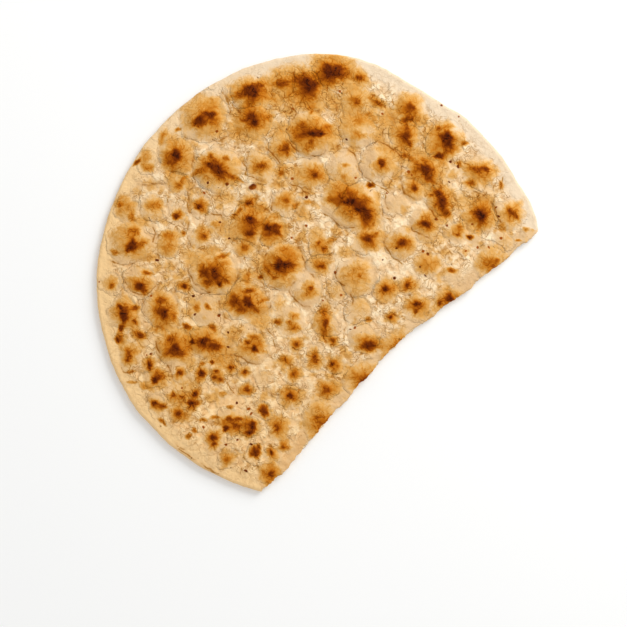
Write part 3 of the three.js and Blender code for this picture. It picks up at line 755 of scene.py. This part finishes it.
coarse_cells = cells(4.4, 0.16)
fine_cells = cells(2.1, 0.5)
swirl_noise = put(
    "ShaderNodeTexNoise", Vector=bent_place, Scale=1000 / 7, Detail=1.5, Roughness=0.4, Distortion=0.8
).outputs["Fac"]
swirl = ramp(reckon("ABSOLUTE", reckon("SINE", reckon("MULTIPLY", swirl_noise, 16))), 0.0, 0.42)
patches = speckle(7, 1, 0.5)
crinkled = reckon("MULTIPLY", ramp(patches, 0.36, 0.56), ramp(valley_value, 0.1, 0.85, 0.3, 1.0))
pebbles = reckon("MULTIPLY", reckon("ADD", reckon("MULTIPLY", coarse_cells, 0.5), 0.5), swirl)

# Folds that run in towards the middle of a dome, round its foot and through its scorch.
from_dome = put("ShaderNodeCombineXYZ", X=skin_value("from_dome_x"), Y=skin_value("from_dome_y"))
reach = reckon_vector("LENGTH", from_dome.outputs[0], result="Value")
bearing = reckon_vector("NORMALIZE", from_dome.outputs[0])
drawn_out = put("ShaderNodeCombineXYZ", Z=reckon("MULTIPLY", reach, 0.16))
spoke = reckon_vector("MULTIPLY_ADD", bearing, (8, 8, 8), drawn_out.outputs[0])
spoke_place = reckon_vector("MULTIPLY_ADD", place, (150, 150, 150), spoke)
spokes = put("ShaderNodeTexNoise", Vector=spoke_place, Scale=0.62, Detail=1.0, Roughness=0.4)
spokes = spokes.outputs["Fac"]
out_from_middle = ramp(reach, 1.5, 5)
foot = reckon("SUBTRACT", 1.0, ramp(fold_value, 0.3, 1.0))
comb = reckon("MULTIPLY", foot, reckon("MULTIPLY", out_from_middle, ramp(speckle(11, 1, 0.5), 0.42, 0.6)))

# How brown the skin is here: its scorch, or a faint blotch, broken up by grain and by folds, and browner
# in the crevices between the small cells as painted shade.
mottle = reckon("SUBTRACT", speckle(3.2, 3, 0.6), 0.5)
puckers = put("ShaderNodeTexNoise", Vector=bent_place, Scale=1000 / 4.2, Detail=1.5, Roughness=0.45)
puckers = puckers.outputs["Fac"]
broad = speckle(26, 2, 0.5)
blotch = ramp(speckle(8, 2, 0.5), 0.42, 0.75, 0.0, 0.22)
blotch = reckon("MULTIPLY", blotch, reckon("SUBTRACT", 1.0, ramp(rim_value, 0.1, 0.6)))
crevice_shade = reckon("MULTIPLY", reckon("SUBTRACT", 0.75, pebbles), 0.16)
grainy = reckon("ADD", reckon("MULTIPLY", mottle, 0.28), crevice_shade)
radial = reckon("MULTIPLY", reckon("SUBTRACT", spokes, 0.5), out_from_middle)
grainy = reckon("ADD", grainy, reckon("MULTIPLY", radial, 0.18))
uneven = reckon("MULTIPLY", grainy, reckon("ADD", ramp(toast_value, 0.02, 0.4, 0.0, 0.85), 0.15))
browned = reckon("ADD", reckon("MAXIMUM", toast_value, blotch), uneven, clamp=True)

# From pale skin through gold and brown to char.
browning = put("ShaderNodeValToRGB", Fac=browned)
stops = [
    (0.0, (226, 193, 151)), (0.1, (223, 184, 131)), (0.2, (214, 162, 90)),
    (0.35, (200, 134, 50)), (0.5, (182, 104, 16)), (0.65, (146, 71, 6)),
    (0.8, (114, 48, 2)), (0.92, (90, 33, 3)), (1.0, (56, 18, 4)),
]
elements = browning.color_ramp.elements
while len(elements) < len(stops):
    elements.new(0.5)
for element, (position, tone) in zip(elements, stops):
    element.position = position
    element.color = colour(*tone)

# Flour stays pale in the valleys and round the rim; the raised skin is tanner. Painted light: the rim and
# the skin are painted a little greyer on the upper right, which faces the window, and warmer and more
# golden on the lower left, which lies away from it in shade.
tan = mixed(ramp(broad, 0.35, 0.65), colour(227, 194, 151), colour(219, 180, 131))
tan = mixed(ramp(mottle, -0.2, 0.2, 0.0, 0.5), tan, colour(207, 166, 114))
floury = mixed(ramp(puckers, 0.36, 0.64), colour(230, 193, 146), colour(244, 219, 180))
pale = mixed(ramp(valley_value, 0.1, 0.8), tan, floury)
toward_window = reckon_vector("DOT_PRODUCT", place, (0.62, 0.78, 0), result="Value")
painted_shade_side_warmth = ramp(toward_window, -0.11, 0.01, 1.0, 0.0)
pale = mixed(painted_shade_side_warmth, pale, colour(254, 242, 219), way="MULTIPLY")
rim_flour_and_painted_light = mixed(ramp(toward_window, -0.05, 0.1), colour(238, 199, 143), colour(223, 201, 171))
pale = mixed(ramp(rim_value, 0.05, 0.6), pale, rim_flour_and_painted_light)
skin = mixed(ramp(browned, 0.02, 0.16), pale, browning.outputs["Color"])

# The creases are darkened with painted shade: a brown multiplied into the skin.
# Each kind of crease has its own strength, and the strongest one shows.
line = reckon("SUBTRACT", 1.0, ramp(fold_value, 0.04, 0.3))
line = reckon("MULTIPLY", line, ramp(speckle(9, 3, 0.6), 0.42, 0.68))
small_line = reckon("SUBTRACT", 1.0, ramp(small_fold_value, 0.06, 0.22))
small_line = reckon("MULTIPLY", small_line, ramp(speckle(6, 2, 0.5), 0.46, 0.66))
hollow = reckon("MULTIPLY", reckon("SUBTRACT", 1.0, pebbles), crinkled)
groove = reckon("MULTIPLY", ramp(spokes, 0.34, 0.5, 1.0, 0.0), comb)
crease = reckon("SUBTRACT", 1.0, ramp(crease_value, 0.03, 0.27))
crease = reckon("MULTIPLY", crease, ramp(speckle(7, 3, 0.6), 0.36, 0.58, 0.35, 1.0))
# A broad band of painted shade on both sides of each crease.
crease_slope_shade = reckon("SUBTRACT", 1.0, ramp(crease_value, 0.0, 1.0))
weaker_kinds = [(0.45, line), (0.45, small_line), (0.22, crease_slope_shade), (0.7, hollow), (0.25, groove)]
painted_crease_shade = crease
for strength, kind in weaker_kinds:
    painted_crease_shade = reckon("MAXIMUM", painted_crease_shade, reckon("MULTIPLY", kind, strength))
skin = mixed(painted_crease_shade, skin, colour(184, 146, 66), way="MULTIPLY")

# The torn face shows pale crumb with small pores darkened by painted shade, and the pinhead bubbles are
# dark all over.
pore_cells = put("ShaderNodeTexVoronoi", {"feature": "F1"}, Vector=bent_place, Scale=1000 / 1.8)
shaded_pores = reckon("MULTIPLY", ramp(pore_cells.outputs["Distance"], 0.2, 0.42, 1.0, 0.0), crumb_value)
crumb = mixed(ramp(speckle(5, 2, 0.5), 0.35, 0.65), colour(236, 203, 152), colour(249, 229, 191))
skin = mixed(crumb_value, skin, crumb)
skin = mixed(reckon("MULTIPLY", shaded_pores, 0.7), skin, colour(186, 140, 84))
speck_colour = mixed(ramp(speckle(9, 1, 0.5), 0.4, 0.6), colour(96, 36, 3), colour(158, 78, 10))
skin = mixed(ramp(speck_value, 0.17, 0.3, 1.0, 0.0), skin, speck_colour)

# Pinholes, where the steam got out.
holes = put("ShaderNodeTexVoronoi", {"feature": "F1"}, Vector=bent_place, Scale=1000 / 5.5)
chance = put("ShaderNodeSeparateColor", Color=holes.outputs["Color"]).outputs[0]
hole = reckon("MULTIPLY", ramp(chance, 0.72, 0.76), ramp(holes.outputs["Distance"], 0.06, 0.1, 1.0, 0.0))
skin = mixed(reckon("MULTIPLY", hole, 0.75), skin, colour(136, 88, 34))

# The fine relief: how high each kind of unevenness stands, in mm. Folds, pinholes and pores sink.
unevenness = [
    (0.22, reckon("MULTIPLY", pebbles, crinkled)),
    (0.16, reckon("MULTIPLY", pebbles, toast_value)),
    (0.06, reckon("MULTIPLY", fine_cells, crinkled)),
    (0.03, fine_cells),
    (0.3, speckle(1.6, 3, 0.6)),
    (1.0, reckon("MULTIPLY", puckers, ramp(valley_value, 0.0, 0.8, 0.5, 1.3))),
    (0.8, reckon("MULTIPLY", spokes, comb)),
    (0.5, reckon("MULTIPLY", speckle(1.3, 1, 0.5), ramp(browned, 0.76, 0.98))),
    (-0.08, line),
    (-0.05, small_line),
    (-0.2, hole),
    (-0.3, shaded_pores),
]
lift = 0.0
for height, kind in unevenness:
    lift = reckon("ADD", lift, reckon("MULTIPLY", kind, height))
relief = put("ShaderNodeBump", Height=lift, Strength=1.0, Distance=0.001)
surface = put("ShaderNodeBsdfPrincipled", Base_Color=skin, Normal=relief.outputs["Normal"])
surface.inputs["Specular IOR Level"].default_value = 0.03
tree.links.new(ramp(browned, 0.75, 1.0, 0.8, 0.5), surface.inputs["Roughness"])
output = put("ShaderNodeOutputMaterial")
tree.links.new(surface.outputs["BSDF"], output.inputs["Surface"])
mesh.materials.clear()
mesh.materials.append(crust)

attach(bread, "root")
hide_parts("flatbread")

# ---------------------------------------------------------------------------------------------
# The table is a plain white top, wide enough to fill every view. It isn't part of the bread,
# which lies loose on it.
# ---------------------------------------------------------------------------------------------
gap_under_bread = 0.05 * mm
floor_shape = bmesh.new()
bmesh.ops.create_grid(floor_shape, x_segments=1, y_segments=1, size=3)
bmesh.ops.translate(floor_shape, verts=floor_shape.verts, vec=(0, 0, -gap_under_bread))
floor_mesh = bpy.data.meshes.new("table_top")
floor_shape.to_mesh(floor_mesh)
floor_shape.free()
floor = bpy.data.objects.new("table_top", floor_mesh)
bpy.context.scene.collection.objects.link(floor)
floor_material = bpy.data.materials.new("white_top")
floor_material.use_nodes = True
floor_finish = floor_material.node_tree.nodes["Principled BSDF"]
floor_finish.inputs["Base Color"].default_value = (0.9, 0.9, 0.89, 1)
floor_finish.inputs["Roughness"].default_value = 0.6
floor_mesh.materials.append(floor_material)

# ---------------------------------------------------------------------------------------------
# Soft light falls from a wide window at the upper right, and a pale room all round fills the
# shadows.
# ---------------------------------------------------------------------------------------------
window_data = bpy.data.lights.new("window", "AREA")
window_data.shape = "RECTANGLE"
window_data.size = 0.8
window_data.size_y = 0.7
window_data.energy = 14.5
window = bpy.data.objects.new("window", window_data)
window.location = (0.8, 0.85, 0.7)
window.rotation_euler = (-window.location).to_track_quat("-Z", "Y").to_euler()
bpy.context.scene.collection.objects.link(window)

world = bpy.data.worlds.new("room")
world.use_nodes = True
world.node_tree.nodes["Background"].inputs["Color"].default_value = (1, 1, 1, 1)
world.node_tree.nodes["Background"].inputs["Strength"].default_value = 0.77
bpy.context.scene.world = world
bpy.context.scene.view_settings.view_transform = "Standard"
